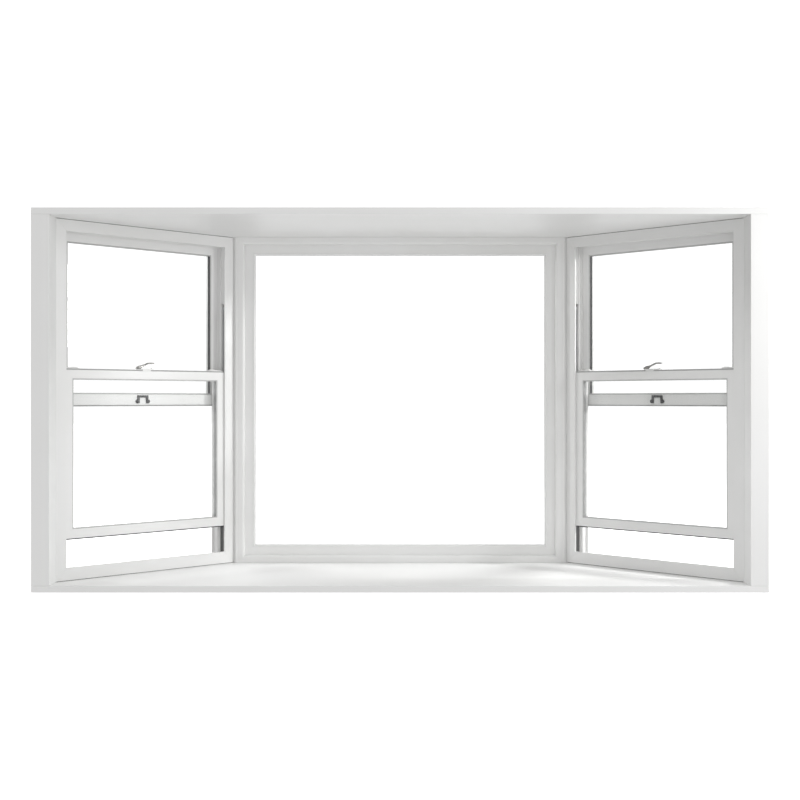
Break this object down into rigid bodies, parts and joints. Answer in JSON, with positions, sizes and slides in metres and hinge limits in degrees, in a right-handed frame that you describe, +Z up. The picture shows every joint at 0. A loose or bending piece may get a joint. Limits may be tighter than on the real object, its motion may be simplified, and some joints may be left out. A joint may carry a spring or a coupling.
{
  "type": "bay window",
  "caption": "Three-sided bay window unit: fixed picture window between two angled double-hung windows, with mull posts, side jambs, head board and seat board.",
  "frame": {"origin": "middle of the opening in the room side wall plane, at the underside of the seat board", "axes": "+X to the right along the wall as seen from the room, +Y outdoors through the wall, +Z up"},
  "size_m": [2.438, 0.6916, 1.272],
  "materials": {
    "white_vinyl": "satin extruded vinyl with welded corners",
    "painted_board": "white painted board, satin",
    "glass": "clear sealed double glazing",
    "spacer": "dark warm-edge spacer",
    "nickel": "brushed nickel lock lever",
    "keeper_grey": "dark grey painted keeper",
    "balance_steel": "galvanised balance channel"
  },
  "bodies": {
    "root": {"head_board": "painted_board", "seat_board": "painted_board", "left_side_jamb": "painted_board", "right_side_jamb": "painted_board", "left_mull_post": "white_vinyl", "right_mull_post": "white_vinyl", "left_mull_cover": "white_vinyl", "right_mull_cover": "white_vinyl", "picture_head": "white_vinyl", "picture_sill": "white_vinyl", "picture_left_jamb": "white_vinyl", "picture_right_jamb": "white_vinyl", "picture_sash": "white_vinyl", "picture_glass": "glass", "picture_spacer": "spacer", "left_window_head": "white_vinyl", "left_window_sill": "white_vinyl", "left_window_wall_jamb": "white_vinyl", "left_window_mull_jamb": "white_vinyl", "left_upper_sash": "white_vinyl", "left_upper_glass": "glass", "left_lower_sash": "white_vinyl", "left_lower_glass": "glass", "left_glass_spacers": "spacer", "left_sash_lock": "white_vinyl", "left_lock_lever": "nickel", "left_keeper": "keeper_grey", "left_tilt_latches": "white_vinyl", "left_balances": "balance_steel", "left_pocket_covers": "white_vinyl", "right_window_head": "white_vinyl", "right_window_sill": "white_vinyl", "right_window_wall_jamb": "white_vinyl", "right_window_mull_jamb": "white_vinyl", "right_upper_sash": "white_vinyl", "right_upper_glass": "glass", "right_lower_sash": "white_vinyl", "right_lower_glass": "glass", "right_glass_spacers": "spacer", "right_sash_lock": "white_vinyl", "right_lock_lever": "nickel", "right_keeper": "keeper_grey", "right_tilt_latches": "white_vinyl", "right_balances": "balance_steel", "right_pocket_covers": "white_vinyl"}
  },
  "joints": []
}
